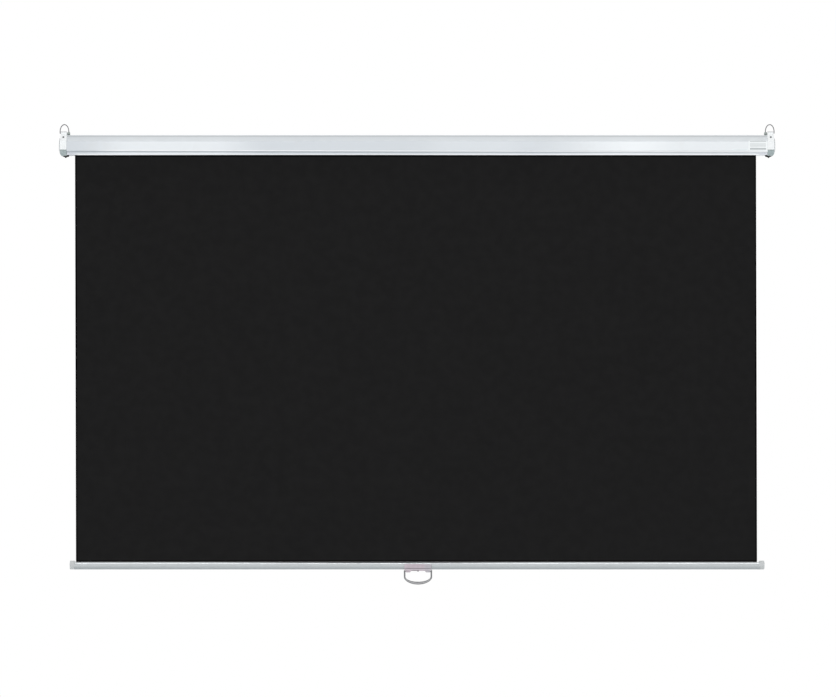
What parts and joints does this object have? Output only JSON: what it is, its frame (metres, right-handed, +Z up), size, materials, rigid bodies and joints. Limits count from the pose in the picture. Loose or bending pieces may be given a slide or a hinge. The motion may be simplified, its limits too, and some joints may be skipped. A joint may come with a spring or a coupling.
{
  "type": "pull down projector screen",
  "caption": "Pull-down projector screen: black fabric unrolls from a slim white spring-roller case, with a weighted bottom bar, a folding pull handle and hanging rings on its end caps",
  "frame": {"origin": "middle of the case's flat back, at the middle of its length and height", "axes": "+X along the case's length to the right seen from the front, +Y into the wall behind it, so the front is at -Y, and +Z up"},
  "size_m": [2.38, 0.0655, 1.5311],
  "materials": {
    "white_paint": "satin white paint on a rolled steel shell",
    "white_plastic": "fine satin moulding",
    "grey_plastic": "fine satin moulding",
    "clip_plastic": "fine satin moulding, slightly pink",
    "black_rubber": "matt",
    "black_fabric": "coated charcoal screen cloth",
    "bar_metal": "satin silver paint",
    "steel": "bright zinc plating",
    "dark_steel": "black plating",
    "nylon": "natural nylon",
    "brass": "plain"
  },
  "bodies": {
    "case": {"case_housing": "white_paint", "end_cap_left": "white_plastic", "end_cap_right": "white_plastic", "cap_screw_left_top": "steel", "cap_screw_left_back": "steel", "cap_screw_right_top": "steel", "cap_screw_right_back": "steel", "facet_screw_left": "dark_steel", "facet_screw_right": "dark_steel", "cap_foot_left": "black_rubber", "cap_foot_right": "black_rubber", "idle_bush": "nylon", "spring_shaft": "steel", "shaft_bracket": "steel", "bracket_screw_1": "steel", "bracket_screw_2": "steel", "ratchet_wheel": "steel", "torsion_spring": "steel", "spring_collar": "nylon", "screen_fabric": "black_fabric"},
    "roller": {"roller_tube": "steel", "spring_end_plug": "nylon", "idle_end_plug": "nylon", "idle_pin": "steel", "shaft_bush": "brass", "steady_bush": "nylon", "pawl_pin_a": "steel", "pawl_pin_b": "steel", "fabric_spline": "nylon", "wound_fabric": "black_fabric"},
    "pawl_a": {"pawl_a": "steel"},
    "pawl_b": {"pawl_b": "steel"},
    "bar": {"weight_bar": "bar_metal", "bar_cap_left": "grey_plastic", "bar_cap_right": "grey_plastic", "hem_rod": "nylon", "fabric_hem": "black_fabric", "handle_clip": "clip_plastic", "clip_screw": "dark_steel"},
    "handle": {"pull_handle": "grey_plastic"},
    "ring_left": {"hanging_ring_left": "steel", "ring_barrel_left": "steel"},
    "ring_right": {"hanging_ring_right": "steel", "ring_barrel_right": "steel"}
  },
  "joints": [
    {"name": "screen_drop", "type": "slide", "parent": "case", "child": "bar", "axis": [0, 0, 1], "range_m": [0, 1.345], "deforming": ["screen_fabric"]},
    {"name": "roller_turn", "type": "hinge", "parent": "case", "child": "roller", "pos_m": [0, -0.028, 0.001], "axis": [-1, 0, 0], "range_deg": [0, 3555]},
    {"name": "pawl_a_swing", "type": "hinge", "parent": "roller", "child": "pawl_a", "pos_m": [1.148, -0.0405, 0.012], "axis": [-1, 0, 0], "range_deg": [0, 18]},
    {"name": "pawl_b_swing", "type": "hinge", "parent": "roller", "child": "pawl_b", "pos_m": [1.148, -0.0155, -0.01], "axis": [-1, 0, 0], "range_deg": [0, 18]},
    {"name": "handle_swing", "type": "hinge", "parent": "bar", "child": "handle", "pos_m": [0.003, -0.0493, -1.4169], "axis": [1, 0, 0], "range_deg": [-90, 90]},
    {"name": "ring_left_swing", "type": "hinge", "parent": "case", "child": "ring_left", "pos_m": [-1.17385, -0.032, 0.039], "axis": [1, 0, 0], "range_deg": [-90, 90]},
    {"name": "ring_right_swing", "type": "hinge", "parent": "case", "child": "ring_right", "pos_m": [1.17385, -0.032, 0.039], "axis": [1, 0, 0], "range_deg": [-90, 90]}
  ],
  "couplings": [
    {"joint": "roller_turn", "follows": "screen_drop", "rad_per_m": 46.131}
  ]
}
